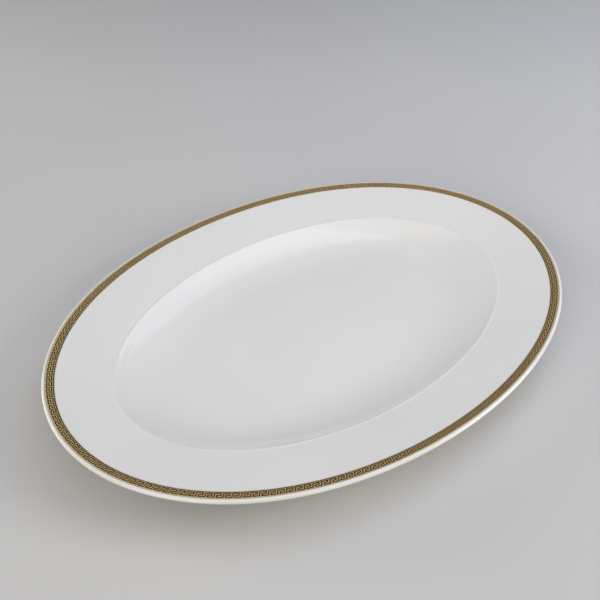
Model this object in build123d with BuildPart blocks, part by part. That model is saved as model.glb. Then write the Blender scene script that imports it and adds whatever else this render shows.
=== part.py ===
from build123d import *
from math import asin, atan2, cos, hypot, radians, sin, tan
import os

# An oval porcelain serving platter: fired body, two coats of glaze and a fired-on gold key border.
# Frame: millimetres, +Z up, +X along the platter. The origin is the centre of the plane that the foot ring
# stands on. Every level of the platter is an oval, named by its inset from the outer edge of the rim.

# Overall size
PLATTER_LENGTH = 380.0
PLATTER_WIDTH = 277.0
LIP_TOP_HEIGHT = 27.5  # crest of the lip above the table
OVAL_FULLNESS = 1.6  # how far the rim's edge stands outside a true ellipse, halfway between the axes
OVAL_POINTS = 48

# Section of the rim and the well, measured on the glazed surface
LIP_RADIUS = 1.4  # the lip is a full round
RIM_WIDTH = 42.6  # inset of the verge, where the rim drops into the well
RIM_SLOPE = radians(12.3)  # the rim falls inwards, tangent to the lip's round
WELL_RADIUS = 85.0  # radius of the well's wall in section
WALL_ANGLE = radians(29)  # steepest slope of the wall, at the verge
WALL_THICKNESS = 4.1

# Foot ring
FOOT_OUTER_INSET = 69.2
FOOT_TOP_INSET = 68.2
FOOT_INNER_INSET = 72.6
RECESS_TOP_INSET = 73.6
RECESS_HEIGHT = 3.6

# Glaze
GLAZE_THICKNESS = 0.3
GLAZE_LINE_HEIGHT = 1.2  # the foot is wiped clean of glaze below this

# Border, from the outer edge inwards
GOLD_START_INSET = 1.7
KEY_MIDDLE_INSET = 4.7
KEY_REPEATS = 212
KEY_COLUMNS = 7  # strokes and gaps in one repeat, all equally wide
KEY_ROWS = 5  # strokes and gaps across the key
INNER_GOLD_WIDTH = 0.35
HAIRLINE_WIDTH = 0.6
EDGE_LINE_WIDTH = 0.5
PRINT_THICKNESS = 0.1  # one layer of fired-on gold or enamel

# Worked out from the above
SEMI_LENGTH = PLATTER_LENGTH / 2
SEMI_WIDTH = PLATTER_WIDTH / 2
LIP_CREST_ANGLE = radians(90) - RIM_SLOPE
LIP_CENTRE_HEIGHT = LIP_TOP_HEIGHT - LIP_RADIUS * sin(LIP_CREST_ANGLE)
RIM_TOP_INSET = LIP_RADIUS * (1 + sin(RIM_SLOPE))
VERGE_HEIGHT = LIP_TOP_HEIGHT - tan(RIM_SLOPE) * (RIM_WIDTH - RIM_TOP_INSET)
WELL_CENTRE_INSET = RIM_WIDTH + WELL_RADIUS * sin(WALL_ANGLE)
WELL_CENTRE_HEIGHT = VERGE_HEIGHT + WELL_RADIUS * cos(WALL_ANGLE)


def spread(start, end, count):
    """Evenly spaced values from start to end, both included."""
    return [start + (end - start) * step / (count - 1) for step in range(count)]


def well_arc(radius, angles):
    """Levels (inset, height) on an arc about the centre of the well's wall, angles from straight down."""
    return [
        (WELL_CENTRE_INSET - radius * sin(angle), WELL_CENTRE_HEIGHT - radius * cos(angle))
        for angle in angles
    ]


def lip_arc(radius, angles):
    """Levels round the lip, angles up from straight outwards."""
    return [
        (LIP_RADIUS - radius * cos(angle), LIP_CENTRE_HEIGHT + radius * sin(angle))
        for angle in angles
    ]


def rim_height(inset):
    """Height of the rim's glazed upper surface."""
    return LIP_TOP_HEIGHT - tan(RIM_SLOPE) * (inset - RIM_TOP_INSET)


def oval_edge(inset, height=0.0):
    """The oval at an inset: an ellipse from the verge inwards, and fuller towards the rim's edge."""
    fullness = OVAL_FULLNESS * max(0.0, 1 - inset / RIM_WIDTH)
    points = []
    for step in range(OVAL_POINTS):
        turn = radians(360) * step / OVAL_POINTS
        grown = fullness * sin(2 * turn) ** 2 - inset
        points.append(((SEMI_LENGTH + grown) * cos(turn), (SEMI_WIDTH + grown) * sin(turn), height))
    return Edge.make_spline(points, parameters=range(OVAL_POINTS + 1), periodic=True)


def loft_ovals(levels, mode=Mode.ADD):
    """Loft a stack of ovals, given as (inset, height), in the part that is being built."""
    ovals = []
    for inset, height in levels:
        with BuildSketch(Plane.XY.offset(height)) as oval:
            with BuildLine():
                add(oval_edge(inset))
            make_face()
        ovals.append(oval.sketch)
    loft(ovals, mode=mode)


def build_underside(depth, foot_height):
    """Foot wall, well underside, rim underside and lip, at a depth below the glaze, from foot_height up."""
    shell_radius = WELL_RADIUS + WALL_THICKNESS - depth
    foot_angle = asin((WELL_CENTRE_INSET - FOOT_TOP_INSET - depth) / shell_radius)
    shell = well_arc(shell_radius, spread(foot_angle, WALL_ANGLE, 6))
    foot_top, shoulder = shell[0], shell[-1]
    foot_inset = FOOT_OUTER_INSET + depth
    foot_slope = (foot_top[0] - foot_inset) / foot_top[1]

    lip_radius = LIP_RADIUS - depth
    run = shoulder[0] - LIP_RADIUS
    rise = LIP_CENTRE_HEIGHT - shoulder[1]
    rim_underside_slope = atan2(rise, run) - asin(lip_radius / hypot(run, rise))
    lip = lip_arc(lip_radius, spread(rim_underside_slope - radians(90), LIP_CREST_ANGLE, 8))

    loft_ovals([(foot_inset + foot_slope * foot_height, foot_height), foot_top])
    loft_ovals(shell)
    loft_ovals([shoulder, lip[0]])
    loft_ovals(lip)


def cut_well(depth):
    """Cut the space above the well and the rim, at a depth below the glaze."""
    wall = well_arc(WELL_RADIUS + depth, spread(0, WALL_ANGLE, 7))
    crest_height = LIP_CENTRE_HEIGHT + (LIP_RADIUS - depth) * sin(LIP_CREST_ANGLE)
    rim_top_inset = LIP_RADIUS + (LIP_RADIUS - depth) * sin(RIM_SLOPE)
    loft_ovals(wall, mode=Mode.SUBTRACT)
    loft_ovals([wall[-1], (rim_top_inset, crest_height)], mode=Mode.SUBTRACT)


def recess_levels(depth, bottom):
    """The recess inside the foot ring, from bottom up, at a depth below the glaze."""
    lean = (RECESS_TOP_INSET - FOOT_INNER_INSET) / RECESS_HEIGHT
    top = RECESS_HEIGHT + depth
    return [
        (FOOT_INNER_INSET - depth + lean * bottom, bottom),
        (FOOT_INNER_INSET - depth + lean * top, top),
    ]


def rim_oval(inset, above_glaze=0.0):
    """The oval at an inset on the rim, or a little above its glaze."""
    return oval_edge(inset, rim_height(inset) + above_glaze)


def build_printed_ring(outer_inset, inner_inset, above_glaze=0.0):
    """One printed line of the border: a thin ring that follows the rim."""
    underside = Face.make_surface_from_curves(
        rim_oval(outer_inset, above_glaze), rim_oval(inner_inset, above_glaze)
    )
    extrude(underside, amount=PRINT_THICKNESS, dir=(0, 0, 1))


# The clay body, first as thrown and pressed, then with the recess turned inside its foot ring
with BuildPart() as pressed_blank:
    build_underside(GLAZE_THICKNESS, 0)
    cut_well(GLAZE_THICKNESS)

with BuildPart() as porcelain_body:
    add(pressed_blank.part)
    loft_ovals(recess_levels(GLAZE_THICKNESS, 0), mode=Mode.SUBTRACT)

with BuildPart() as main_glaze:
    build_underside(0, GLAZE_LINE_HEIGHT)
    cut_well(0)
    add(pressed_blank.part, mode=Mode.SUBTRACT)

with BuildPart() as foot_well_glaze:
    loft_ovals(recess_levels(GLAZE_THICKNESS, GLAZE_LINE_HEIGHT))
    loft_ovals(recess_levels(0, GLAZE_LINE_HEIGHT), mode=Mode.SUBTRACT)

# The border. The key is 212 equal enamel strokes on a gold ground; here the enamel layer is left uncut
key_line = rim_oval(KEY_MIDDLE_INSET)
key_cell = key_line.length / KEY_REPEATS / KEY_COLUMNS
key_start = KEY_MIDDLE_INSET - KEY_ROWS / 2 * key_cell
key_end = KEY_MIDDLE_INSET + KEY_ROWS / 2 * key_cell
hairline_start = key_end + INNER_GOLD_WIDTH
edge_line_start = hairline_start + HAIRLINE_WIDTH

with BuildPart() as outer_gold_line:
    build_printed_ring(GOLD_START_INSET, key_start)

with BuildPart() as key_ground:
    build_printed_ring(key_start, key_end)

with BuildPart() as key_border:
    build_printed_ring(key_start, key_end, PRINT_THICKNESS)

with BuildPart() as inner_gold_line:
    build_printed_ring(key_end, hairline_start)

with BuildPart() as brown_hairline:
    build_printed_ring(hairline_start, edge_line_start)

with BuildPart() as gold_edge_line:
    build_printed_ring(edge_line_start, edge_line_start + EDGE_LINE_WIDTH)

pieces = {
    "porcelain_body": porcelain_body,
    "main_glaze": main_glaze,
    "foot_well_glaze": foot_well_glaze,
    "outer_gold_line": outer_gold_line,
    "key_ground": key_ground,
    "key_border": key_border,
    "inner_gold_line": inner_gold_line,
    "brown_hairline": brown_hairline,
    "gold_edge_line": gold_edge_line,
}
os.makedirs("parts", exist_ok=True)
for name, piece in pieces.items():
    piece.part.label = name
    export_step(piece.part, f"parts/{name}.step")
    print(name, round(piece.part.volume, 1), piece.part.bounding_box().size)
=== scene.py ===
"""The looks of an oval porcelain platter with a fired-on gold key border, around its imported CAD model.

Every level of the platter is an oval named by its inset from the rim's outer edge, as in the CAD model.
Lengths are in metres.
"""

from math import asin, atan2, cos, hypot, pi, radians, sin, tan

import bpy
import numpy as np
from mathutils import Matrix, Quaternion, Vector


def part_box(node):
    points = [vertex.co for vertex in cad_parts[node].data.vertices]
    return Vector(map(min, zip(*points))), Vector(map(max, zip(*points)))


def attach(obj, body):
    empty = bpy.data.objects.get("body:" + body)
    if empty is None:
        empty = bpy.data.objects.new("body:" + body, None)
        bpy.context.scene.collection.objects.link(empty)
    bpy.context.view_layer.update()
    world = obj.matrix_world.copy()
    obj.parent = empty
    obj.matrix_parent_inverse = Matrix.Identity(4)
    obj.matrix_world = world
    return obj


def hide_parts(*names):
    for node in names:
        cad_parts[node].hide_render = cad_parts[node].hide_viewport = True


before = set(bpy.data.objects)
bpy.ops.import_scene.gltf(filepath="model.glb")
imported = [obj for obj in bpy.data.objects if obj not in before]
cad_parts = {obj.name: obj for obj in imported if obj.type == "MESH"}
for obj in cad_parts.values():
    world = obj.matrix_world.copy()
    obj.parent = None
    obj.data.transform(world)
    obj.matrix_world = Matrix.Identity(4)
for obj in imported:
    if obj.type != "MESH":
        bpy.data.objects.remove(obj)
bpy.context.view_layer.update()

MM = 0.001

# Section of the platter, as the CAD model has it
LIP_RADIUS = 1.4 * MM
RIM_WIDTH = 42.6 * MM
OVAL_FULLNESS = 1.6 * MM
RIM_SLOPE = radians(12.3)
WELL_RADIUS = 85.0 * MM
WALL_ANGLE = radians(29)
WALL_THICKNESS = 4.1 * MM
FOOT_OUTER_INSET = 69.2 * MM
FOOT_TOP_INSET = 68.2 * MM
FOOT_INNER_INSET = 72.6 * MM
RECESS_TOP_INSET = 73.6 * MM
GLAZE_THICKNESS = 0.3 * MM
KEY_MIDDLE_INSET = 4.7 * MM
KEY_REPEATS = 212
KEY_COLUMNS = 7
KEY_ROWS = 5
GOLD_START_INSET = 1.7 * MM
INNER_GOLD_WIDTH = 0.35 * MM
HAIRLINE_WIDTH = 0.6 * MM
EDGE_LINE_WIDTH = 0.5 * MM

# What the CAD model leaves to the looks
VERGE_SOFTNESS = 0.5 * MM
VERGE_BEADS = (  # low ridges by the verge: how far inside it, half-width and height
    (-0.5 * MM, 0.9 * MM, 0.28 * MM),
    (4.6 * MM, 0.8 * MM, 0.06 * MM),
)
FOOT_ROUNDING = 0.5 * MM
FOOT_OUTER_TURN = 0.3  # the outer edge's rounding starts at this angle, where it meets the leaning wall
FOOT_INNER_TURN = 1.27  # the inner edge's rounding ends at this one
PRINT_LIFT = 0.03 * MM  # how far a printed line stands off the glaze
STROKE_BOTTOM = 0.9 * PRINT_LIFT  # the strokes are sunk a little into the gold
STROKE_TOP = 2 * PRINT_LIFT
# A printed line in section: share of its width, share of its lift
LINE_SECTION = ((0.0, 0.0), (0.03, 0.8), (0.1, 1.0), (0.5, 1.0), (0.9, 1.0), (0.97, 0.8), (1.0, 0.0))
WAVER_SIZE = 0.004 * MM  # each wave in the edge of a printed line
WAVER_COUNT = 14
WAVER_SLOWEST = 9  # waves in one turn round the rim
WAVER_FASTEST = 160
SHARP_ANGLE = radians(35)

# How finely the meshes are divided
AROUND = 2 * KEY_REPEATS
VERGE_FINE_INSIDE = 8 * MM
VERGE_FINE_OUTSIDE = 4 * MM
LENGTH_POINTS = 20001  # along the oval, to measure its length

# Sizes read from the frame
glaze_low, glaze_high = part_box("main_glaze")
SEMI_LENGTH, SEMI_WIDTH, LIP_TOP = glaze_high
GLAZE_LINE = glaze_low.z
RECESS_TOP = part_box("foot_well_glaze")[1].z

LIP_CENTRE_HEIGHT = LIP_TOP - LIP_RADIUS * cos(RIM_SLOPE)
RIM_TOP_INSET = LIP_RADIUS * (1 + sin(RIM_SLOPE))
VERGE_HEIGHT = LIP_TOP - tan(RIM_SLOPE) * (RIM_WIDTH - RIM_TOP_INSET)
WELL_CENTRE_INSET = RIM_WIDTH + WELL_RADIUS * sin(WALL_ANGLE)
WELL_CENTRE_HEIGHT = VERGE_HEIGHT + WELL_RADIUS * cos(WALL_ANGLE)


# ---------------------------------------------------------------- ovals and sections


def spread(start, end, count):
    """Evenly spaced values from start to end, both included."""
    return [start + (end - start) * step / (count - 1) for step in range(count)]


def oval(inset, height, angles):
    """Points of the oval at an inset; past the well's edge it shrinks evenly to the centre."""
    shrink = 1.0
    if inset > WELL_CENTRE_INSET:
        shrink = max(0.0, (SEMI_WIDTH - inset) / (SEMI_WIDTH - WELL_CENTRE_INSET))
        inset = WELL_CENTRE_INSET
    fullness = OVAL_FULLNESS * max(0.0, 1 - inset / RIM_WIDTH)
    grown = fullness * np.sin(2 * angles) ** 2 - inset
    x = (SEMI_LENGTH + grown) * shrink * np.cos(angles)
    y = (SEMI_WIDTH + grown) * shrink * np.sin(angles)
    return np.column_stack([x, y, np.full(len(angles), height)])


def even_angles(count):
    """Angles that step evenly along the oval through the middle of the key, and how long that oval is."""
    angle = np.linspace(0, 2 * pi, LENGTH_POINTS)
    steps = np.linalg.norm(np.diff(oval(KEY_MIDDLE_INSET, 0, angle), axis=0), axis=1)
    travelled = np.concatenate([[0], np.cumsum(steps)])
    return np.interp(np.arange(count) / count * travelled[-1], travelled, angle), travelled[-1]


AROUND_ANGLES, KEY_LENGTH = even_angles(AROUND)


def rim_height(inset):
    """Height of the rim's glazed upper surface."""
    return LIP_TOP - tan(RIM_SLOPE) * (inset - RIM_TOP_INSET)


def well_height(inset):
    """Height of the well's wall, which is an arc in section, and of its flat floor inside that."""
    across = min(max(WELL_CENTRE_INSET - inset, 0.0), WELL_RADIUS)
    return WELL_CENTRE_HEIGHT - (WELL_RADIUS**2 - across**2) ** 0.5


def top_height(inset):
    """The glazed upper surface from the lip's crest inwards: rim, beaded verge and well."""
    # The rim's line stays level from here inwards, so that it never comes down to the floor
    rim_end = WELL_CENTRE_INSET - WELL_RADIUS / 4
    rim = rim_height(min(inset, rim_end))
    well = well_height(inset)
    blend = max(VERGE_SOFTNESS - abs(rim - well), 0.0) / VERGE_SOFTNESS
    height = min(rim, well) - blend**3 * VERGE_SOFTNESS / 6
    for place, width, rise in VERGE_BEADS:
        height += rise * np.exp(-(((inset - RIM_WIDTH - place) / width) ** 2))
    return height


def top_section(depth):
    """Levels (inset, height) from the middle of the well out to the lip, at a depth below the glaze."""
    fine_start = RIM_WIDTH + VERGE_FINE_INSIDE
    fine_end = RIM_WIDTH - VERGE_FINE_OUTSIDE
    insets = spread(SEMI_WIDTH, WELL_CENTRE_INSET, 7)[:-1]
    insets += spread(WELL_CENTRE_INSET, fine_start, 22)[:-1]
    insets += spread(fine_start, fine_end, 41)[:-1]
    insets += spread(fine_end, RIM_TOP_INSET, 9)
    return [(inset, top_height(inset) - depth) for inset in insets]


def under_section(depth, foot_height):
    """Levels round the lip and down the underside to a height on the foot's outer wall."""
    shell_radius = WELL_RADIUS + WALL_THICKNESS - depth
    foot_angle = asin((WELL_CENTRE_INSET - FOOT_TOP_INSET - depth) / shell_radius)
    shell = [
        (WELL_CENTRE_INSET - shell_radius * sin(angle), WELL_CENTRE_HEIGHT - shell_radius * cos(angle))
        for angle in spread(WALL_ANGLE, foot_angle, 14)
    ]
    shoulder, foot_top = shell[0], shell[-1]
    run, rise = shoulder[0] - LIP_RADIUS, LIP_CENTRE_HEIGHT - shoulder[1]
    lip_radius = LIP_RADIUS - depth
    slope = atan2(rise, run) - asin(lip_radius / hypot(run, rise))
    lip = [
        (LIP_RADIUS - lip_radius * cos(angle), LIP_CENTRE_HEIGHT + lip_radius * sin(angle))
        for angle in spread(pi / 2 - RIM_SLOPE, slope - pi / 2, 17)
    ]
    rim = [
        (lip[-1][0] + (shoulder[0] - lip[-1][0]) * share, lip[-1][1] + (shoulder[1] - lip[-1][1]) * share)
        for share in spread(0, 1, 8)
    ]
    foot_inset = FOOT_OUTER_INSET + depth
    lean = (foot_top[0] - foot_inset) / foot_top[1]
    foot = [(foot_inset + lean * height, height) for height in spread(foot_top[1], foot_height, 6)]
    return lip[1:-1] + rim[:-1] + shell[:-1] + foot


def recess_section(depth, bottom):
    """Levels of the recess inside the foot ring, from a height on its wall in to the middle."""
    lean = (RECESS_TOP_INSET - FOOT_INNER_INSET) / (RECESS_TOP - GLAZE_THICKNESS)
    top = RECESS_TOP - GLAZE_THICKNESS + depth
    wall = [(FOOT_INNER_INSET - depth + lean * height, height) for height in spread(bottom, top, 5)]
    ceiling = [(inset, top) for inset in spread(wall[-1][0], WELL_CENTRE_INSET, 4)[1:]]
    middle = [(inset, top) for inset in spread(WELL_CENTRE_INSET, SEMI_WIDTH, 5)[1:]]
    return wall + ceiling + middle


# ---------------------------------------------------------------- meshes


def new_piece(name, points, faces):
    """A smooth mesh object whose sharp edges stay sharp."""
    mesh = bpy.data.meshes.new(name)
    mesh.from_pydata(np.asarray(points).tolist(), [], faces)
    mesh.validate()
    mesh.shade_smooth()
    mesh.set_sharp_from_angle(angle=SHARP_ANGLE)
    piece = bpy.data.objects.new(name, mesh)
    bpy.context.scene.collection.objects.link(piece)
    return piece


def turned_solid(name, section):
    """A closed solid of ovals, from a section that starts and ends on the vertical axis."""
    rings = section[1:-1]
    points = [[0, 0, section[0][1]]]
    for inset, height in rings:
        points.extend(oval(inset, height, AROUND_ANGLES))
    points.append([0, 0, section[-1][1]])
    last = len(points) - 1
    faces = []
    for here in range(AROUND):
        ahead = (here + 1) % AROUND
        faces.append((0, 1 + here, 1 + ahead))
        for ring in range(len(rings) - 1):
            a, b = 1 + ring * AROUND, 1 + (ring + 1) * AROUND
            faces.append((a + here, b + here, b + ahead, a + ahead))
        a = 1 + (len(rings) - 1) * AROUND
        faces.append((a + here, last, a + ahead))
    return new_piece(name, points, faces)


def printed_ring(name, outer_inset, inner_inset, lift, seed):
    """A thin printed line on the rim, with edges that waver a little, and rounded off at its sides."""
    rng = np.random.default_rng(seed)
    waver = np.zeros(AROUND)
    for wave in rng.integers(WAVER_SLOWEST, WAVER_FASTEST, WAVER_COUNT):
        waver += np.sin(wave * np.arange(AROUND) / AROUND * 2 * pi + rng.uniform(0, 2 * pi))
    waver *= WAVER_SIZE
    points = []
    for share, rise in LINE_SECTION:
        inset = outer_inset + (inner_inset - outer_inset) * share
        ring = oval(inset, 0, AROUND_ANGLES)
        outwards = ring[:, :2] / np.linalg.norm(ring[:, :2], axis=1)[:, None]
        ring[:, :2] += outwards * (waver * (1 - 2 * share))[:, None]
        ring[:, 2] = rim_height(inset) + tan(RIM_SLOPE) * waver * (1 - 2 * share) + lift * rise
        points.extend(ring)
    faces = []
    count = len(LINE_SECTION)
    for here in range(AROUND):
        ahead = (here + 1) % AROUND
        for row in range(count):
            a, b = row * AROUND, (row + 1) % count * AROUND
            faces.append((a + here, b + here, b + ahead, a + ahead))
    return new_piece(name, points, faces)


def key_cells():
    """The cells of one repeat that carry enamel: (column along the border, row from the inner edge)."""
    cells = {(0, row) for row in range(KEY_ROWS)}
    cells |= {(column, 0) for column in range(1, 6)}
    cells |= {(5, 1), (5, 2), (4, 2), (3, 2), (2, 2), (2, 3), (2, 4)}
    cells |= {(column, 4) for column in range(3, KEY_COLUMNS)}
    return cells


def key_strokes(name, outer_inset, inner_inset, low, high):
    """The enamel key: every cell of the pattern that carries enamel, raised off the gold."""
    columns = KEY_REPEATS * KEY_COLUMNS
    angles, _ = even_angles(columns)
    rows = spread(inner_inset, outer_inset, KEY_ROWS + 1)
    points = []
    for lift in (low, high):
        for inset in rows:
            points.extend(oval(inset, rim_height(inset) + lift, angles))
    top = len(rows) * columns

    def corner(column, row):
        return row * columns + column % columns

    repeat = key_cells()
    filled = {(column + k * KEY_COLUMNS, row) for k in range(KEY_REPEATS) for column, row in repeat}
    faces = []
    for column, row in sorted(filled):
        a, b = corner(column, row), corner(column + 1, row)
        c, d = corner(column + 1, row + 1), corner(column, row + 1)
        faces.append((a + top, d + top, c + top, b + top))
        faces.append((a, b, c, d))
        if (column, row - 1) not in filled:
            faces.append((a, a + top, b + top, b))
        if (column, row + 1) not in filled:
            faces.append((c, c + top, d + top, d))
        if ((column + 1) % columns, row) not in filled:
            faces.append((b, b + top, c + top, c))
        if ((column - 1) % columns, row) not in filled:
            faces.append((d, d + top, a + top, a))
    used = sorted({i for face in faces for i in face})
    renumber = {old: new for new, old in enumerate(used)}
    faces = [tuple(renumber[i] for i in face) for face in faces]
    return new_piece(name, np.asarray(points)[used], faces)


# ---------------------------------------------------------------- materials


def new_material(name):
    """A new material with its node tree and its shader."""
    material = bpy.data.materials.new(name)
    material.use_nodes = True
    shader = material.node_tree.nodes["Principled BSDF"]
    return material, material.node_tree, shader


def noise(tree, scale, detail, roughness=0.5):
    """A noise texture in the platter's own coordinates; scale is in cycles per metre."""
    place = tree.nodes.new("ShaderNodeTexCoord")
    texture = tree.nodes.new("ShaderNodeTexNoise")
    texture.inputs["Scale"].default_value = scale
    texture.inputs["Detail"].default_value = detail
    texture.inputs["Roughness"].default_value = roughness
    tree.links.new(place.outputs["Object"], texture.inputs["Vector"])
    return texture.outputs["Fac"]


def ramp(tree, source, stops):
    """Map a value to colours between two stops, given as (position, (r, g, b))."""
    node = tree.nodes.new("ShaderNodeValToRGB")
    for element, (position, colour) in zip(node.color_ramp.elements, stops):
        element.position = position
        element.color = (*colour, 1.0)
    tree.links.new(source, node.inputs["Fac"])
    return node.outputs["Color"]


def level(tree, source, low, high):
    """Map a noise value to a plain range."""
    node = tree.nodes.new("ShaderNodeMapRange")
    node.inputs["From Min"].default_value = 0.3
    node.inputs["From Max"].default_value = 0.7
    node.inputs["To Min"].default_value = low
    node.inputs["To Max"].default_value = high
    tree.links.new(source, node.inputs["Value"])
    return node.outputs["Result"]


def bump(tree, shader, heights):
    """Chain bumps, given as (height source, depth in metres), into the shader's normal."""
    normal = None
    for source, depth in heights:
        node = tree.nodes.new("ShaderNodeBump")
        node.inputs["Strength"].default_value = 1.0
        node.inputs["Distance"].default_value = depth
        tree.links.new(source, node.inputs["Height"])
        if normal is not None:
            tree.links.new(normal, node.inputs["Normal"])
        normal = node.outputs["Normal"]
    tree.links.new(normal, shader.inputs["Normal"])


def glaze_material():
    """White glaze: glossy, with the faint unevenness of a dipped coat."""
    material, tree, shader = new_material("white_glaze")
    tint = ramp(tree, noise(tree, 9, 2), [(0.3, (0.735, 0.735, 0.725)), (0.7, (0.765, 0.765, 0.757))])
    tree.links.new(tint, shader.inputs["Base Color"])
    tree.links.new(level(tree, noise(tree, 40, 4), 0.07, 0.14), shader.inputs["Roughness"])
    shader.inputs["IOR"].default_value = 1.5
    bump(tree, shader, [(noise(tree, 55, 1), 0.03 * MM), (noise(tree, 420, 2), 0.003 * MM)])
    return material


def clay_material():
    """Bare fired clay, as the foot ring shows it: matte, with a fine grain and a little grey from use."""
    material, tree, shader = new_material("bisque_porcelain")
    tint = ramp(tree, noise(tree, 160, 6, 0.65), [(0.35, (0.50, 0.47, 0.42)), (0.6, (0.66, 0.63, 0.57))])
    tree.links.new(tint, shader.inputs["Base Color"])
    tree.links.new(level(tree, noise(tree, 300, 3), 0.7, 0.9), shader.inputs["Roughness"])
    bump(tree, shader, [(noise(tree, 2200, 4), 0.04 * MM)])
    return material


def gold_material(name, dark, light, smooth, rough, metallic):
    """Fired gold: metal, more or less burnished, with fine brush and wear marks."""
    material, tree, shader = new_material(name)
    shader.inputs["Metallic"].default_value = metallic
    tint = ramp(tree, noise(tree, 900, 4, 0.6), [(0.35, dark), (0.65, light)])
    tree.links.new(tint, shader.inputs["Base Color"])
    tree.links.new(level(tree, noise(tree, 1400, 3), smooth, rough), shader.inputs["Roughness"])
    bump(tree, shader, [(noise(tree, 2500, 3), 0.006 * MM)])
    return material


def enamel_material():
    """Brown overglaze enamel: satin, a little uneven in depth."""
    material, tree, shader = new_material("brown_enamel")
    shades = [(0.35, (0.018, 0.007, 0.0005)), (0.65, (0.04, 0.017, 0.001))]
    tint = ramp(tree, noise(tree, 700, 4, 0.6), shades)
    tree.links.new(tint, shader.inputs["Base Color"])
    tree.links.new(level(tree, noise(tree, 1100, 3), 0.3, 0.45), shader.inputs["Roughness"])
    shader.inputs["Specular IOR Level"].default_value = 0.08
    bump(tree, shader, [(noise(tree, 1800, 3), 0.01 * MM)])
    return material


# ---------------------------------------------------------------- the platter


def add_piece(piece, node, material):
    """Give a piece its material, hang it on the root body and hide the CAD node it stands in for."""
    piece.data.materials.append(material)
    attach(piece, "root")
    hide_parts(node)


def foot_rounding(depth):
    """The foot ring's outer wall, at a depth below the glaze, and its rounded edges on the table."""
    foot = under_section(depth, FOOT_ROUNDING)
    outer_edge = foot[-1][0] + FOOT_ROUNDING
    inner_edge = FOOT_INNER_INSET - depth - FOOT_ROUNDING
    for angle in spread(FOOT_OUTER_TURN, pi / 2, 5):
        foot.append((outer_edge - FOOT_ROUNDING * cos(angle), FOOT_ROUNDING * (1 - sin(angle))))
    for angle in spread(0, FOOT_INNER_TURN, 5):
        foot.append((inner_edge + FOOT_ROUNDING * sin(angle), FOOT_ROUNDING * (1 - cos(angle))))
    return foot


def make_glaze_and_clay():
    """The fired body and its two coats of glaze; the foot ring is left bare."""
    glaze, clay = glaze_material(), clay_material()
    skin = GLAZE_THICKNESS

    outside = top_section(0) + under_section(0, GLAZE_LINE)
    inside = top_section(skin) + under_section(skin, GLAZE_LINE)
    add_piece(turned_solid("glaze_coat", outside + inside[::-1]), "main_glaze", glaze)

    body = top_section(skin) + foot_rounding(skin) + recess_section(skin, FOOT_ROUNDING)
    add_piece(turned_solid("clay_body", body), "porcelain_body", clay)

    recess = recess_section(0, GLAZE_LINE)[::-1] + recess_section(skin, GLAZE_LINE)
    add_piece(turned_solid("recess_glaze", recess), "foot_well_glaze", glaze)


def make_border():
    """The printed border from the rim's edge inwards: five lines, then the key on its gold ground."""
    enamel = enamel_material()
    bright = gold_material("bright_gold", (0.85, 0.70, 0.41), (0.97, 0.83, 0.54), 0.3, 0.45, 0.7)
    matte = gold_material("matte_gold", (0.60, 0.41, 0.15), (0.77, 0.57, 0.26), 0.42, 0.55, 0.5)

    cell = KEY_LENGTH / KEY_REPEATS / KEY_COLUMNS
    key_start = KEY_MIDDLE_INSET - KEY_ROWS / 2 * cell
    key_end = KEY_MIDDLE_INSET + KEY_ROWS / 2 * cell
    hairline_start = key_end + INNER_GOLD_WIDTH
    edge_line_start = hairline_start + HAIRLINE_WIDTH
    edge_line_end = edge_line_start + EDGE_LINE_WIDTH
    lines = (
        ("gold_line", "outer_gold_line", "bright_gold", bright, GOLD_START_INSET, key_start),
        ("gold_ground", "key_ground", "matte_gold", matte, key_start, key_end),
        ("thin_gold_line", "inner_gold_line", "bright_gold", bright, key_end, hairline_start),
        ("brown_line", "brown_hairline", "brown_enamel", enamel, hairline_start, edge_line_start),
        ("pale_line", "gold_edge_line", "bright_gold", bright, edge_line_start, edge_line_end),
    )
    for seed, (name, node, slot, material, start, end) in enumerate(lines):
        add_piece(printed_ring(name, start, end, PRINT_LIFT, seed), node, material)
    strokes = key_strokes("key_strokes", key_start, key_end, STROKE_BOTTOM, STROKE_TOP)
    add_piece(strokes, "key_border", enamel)


# ---------------------------------------------------------------- stage, light and camera

CAMERA_AZIMUTH = radians(-39.85)
CAMERA_ELEVATION = radians(38.46)
CAMERA_ROLL = radians(-0.41)
CAMERA_DISTANCE = 562.4 * MM
CAMERA_TARGET = Vector((-5.8 * MM, 11.9 * MM, LIP_TOP))
CAMERA_LENS = 49.68
CAMERA_SENSOR = 36.0
FLOOR_REACH = 6.0
ROOM_GREY = 0.07


def make_stage():
    """A wide floor of pale paper."""
    corners = [(x * FLOOR_REACH, y * FLOOR_REACH, 0) for x, y in ((-1, -1), (1, -1), (1, 1), (-1, 1))]
    mesh = bpy.data.meshes.new("floor")
    mesh.from_pydata(corners, [], [(0, 1, 2, 3)])
    floor = bpy.data.objects.new("floor", mesh)
    bpy.context.scene.collection.objects.link(floor)
    material, tree, shader = new_material("floor_paper")
    tint = ramp(tree, noise(tree, 3, 2), [(0.3, (0.54, 0.54, 0.54)), (0.7, (0.57, 0.57, 0.57))])
    tree.links.new(tint, shader.inputs["Base Color"])
    shader.inputs["Roughness"].default_value = 0.9
    mesh.materials.append(material)


def from_camera_side(right, away, up):
    """A place beside the platter as the camera sees it: to its right, away beyond it and up."""
    along = Vector((-sin(CAMERA_AZIMUTH), cos(CAMERA_AZIMUTH), 0))
    across = Vector((cos(CAMERA_AZIMUTH), sin(CAMERA_AZIMUTH), 0))
    return across * right + along * away + Vector((0, 0, up))


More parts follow.
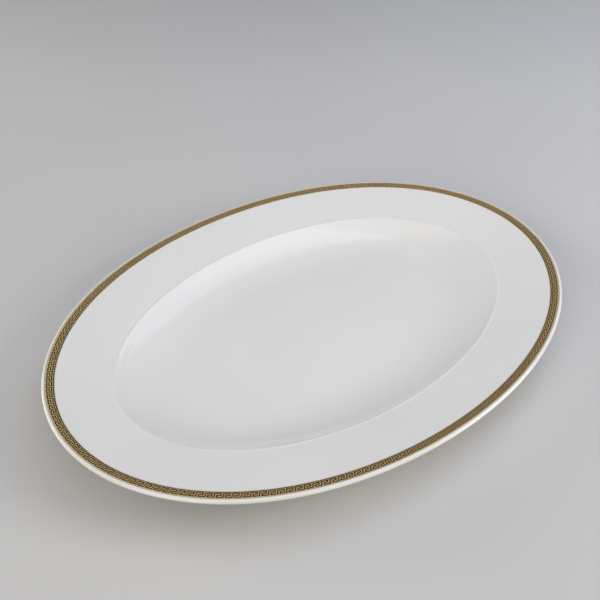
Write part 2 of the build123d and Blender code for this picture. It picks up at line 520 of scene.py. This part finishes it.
def soft_light(name, place, size, radiance, tint, facing=None):
    """A flat soft light that faces the platter, or straight down."""
    light = bpy.data.lights.new(name, "AREA")
    light.shape = "RECTANGLE"
    light.size, light.size_y = size
    light.energy = radiance * pi * size[0] * size[1]
    light.color = tint
    lamp = bpy.data.objects.new(name, light)
    lamp.location = place
    if facing == "down":
        lamp.rotation_euler = (0, 0, CAMERA_AZIMUTH)
    else:
        lamp.rotation_euler = (-place).to_track_quat("-Z", "Y").to_euler()
    bpy.context.scene.collection.objects.link(lamp)


def make_light():
    """A wide softbox overhead, cool window light from beyond the platter, and fill from the other sides."""
    soft_light("overhead", from_camera_side(0, -0.25, 1.25), (1.3, 1.66), 0.8, (1.01, 1.0, 1.0), "down")
    soft_light("window", from_camera_side(0.68, 0.42, 1.0), (0.95, 0.95), 1.22, (0.86, 1.0, 1.45))
    soft_light("far_wall", from_camera_side(-0.7, 1.4, 0.7), (1.2, 0.9), 0.2, (0.9, 1.0, 1.25))
    soft_light("right_fill", from_camera_side(1.4, -0.2, 0.6), (0.8, 0.8), 7.3, (1.05, 1.0, 0.88))
    soft_light("front_fill", from_camera_side(-0.7, -1.2, 0.6), (0.8, 0.8), 5.1, (1.05, 1.0, 0.91))
    soft_light("left_fill", from_camera_side(-1.3, 0.4, 0.4), (0.8, 0.6), 5.0, (1.04, 1.0, 0.88))
    world = bpy.data.worlds.new("studio")
    world.use_nodes = True
    background = world.node_tree.nodes["Background"]
    background.inputs["Color"].default_value = (ROOM_GREY, ROOM_GREY, ROOM_GREY, 1)
    background.inputs["Strength"].default_value = 1.0
    bpy.context.scene.world = world
    bpy.context.scene.view_settings.view_transform = "Standard"


def make_camera():
    """A camera at the photograph's angle."""
    azimuth, elevation = CAMERA_AZIMUTH, CAMERA_ELEVATION
    back = Vector((sin(azimuth) * cos(elevation), -cos(azimuth) * cos(elevation), sin(elevation)))
    data = bpy.data.cameras.new("camera")
    data.lens = CAMERA_LENS
    data.sensor_width = CAMERA_SENSOR
    camera = bpy.data.objects.new("camera", data)
    camera.location = CAMERA_TARGET + back * CAMERA_DISTANCE
    roll = Quaternion((0, 0, 1), CAMERA_ROLL)
    camera.rotation_euler = ((-back).to_track_quat("-Z", "Y") @ roll).to_euler()
    bpy.context.scene.collection.objects.link(camera)
    bpy.context.scene.camera = camera


make_camera()
make_stage()
make_light()
make_glaze_and_clay()
make_border()
